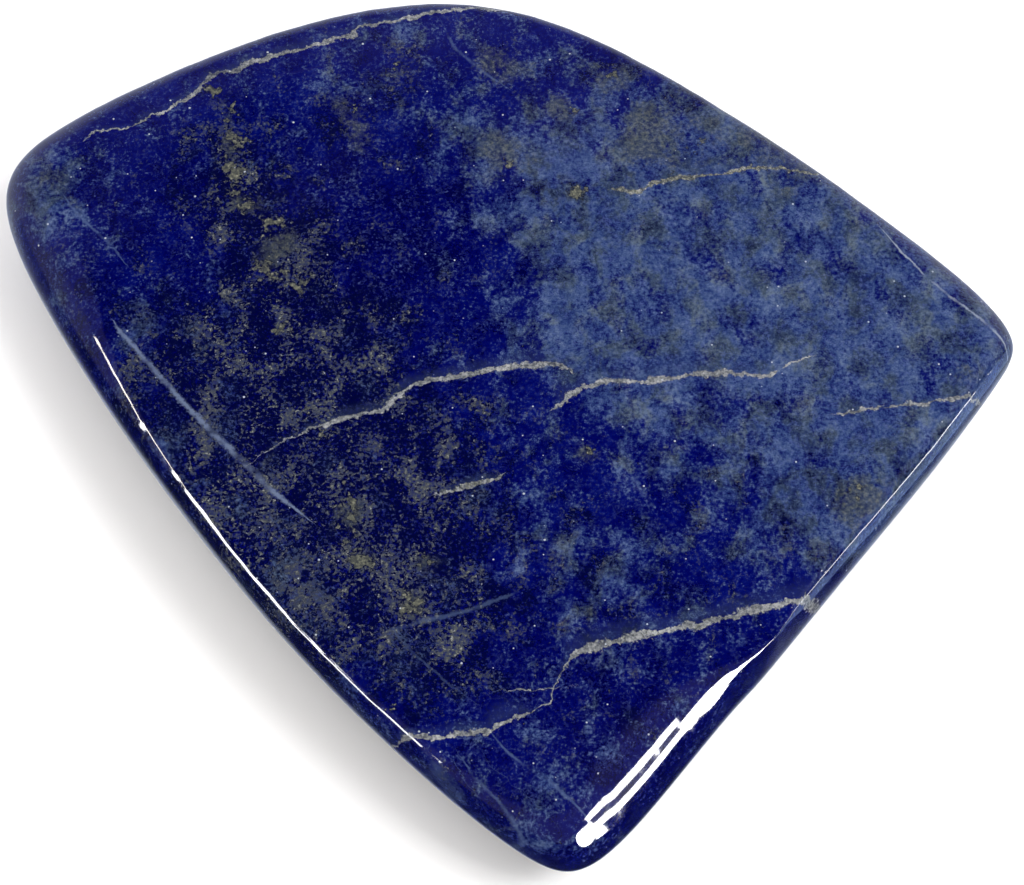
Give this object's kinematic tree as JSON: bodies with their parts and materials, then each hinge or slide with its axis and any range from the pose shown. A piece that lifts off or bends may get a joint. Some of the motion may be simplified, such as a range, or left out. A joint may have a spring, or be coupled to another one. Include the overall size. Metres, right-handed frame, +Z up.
{
  "type": "lapis lazuli freeform",
  "caption": "Polished lapis lazuli slab with a kite-like freeform outline, a gently crowned face, rolled-over edges, tucked-in sides and a flat ground base that it lies on.",
  "frame": {"origin": "on the ground base, under the middle of the stone's outline as seen from above", "axes": "+Z up out of the polished face, +X towards the sharp right-hand corner of the face, -Y towards the long pointed corner nearest the viewer"},
  "size_m": [0.115, 0.1072, 0.0201],
  "materials": {
    "polished_lapis": "polished"
  },
  "bodies": {
    "root": {"lapis_stone": "polished_lapis"}
  },
  "joints": []
}
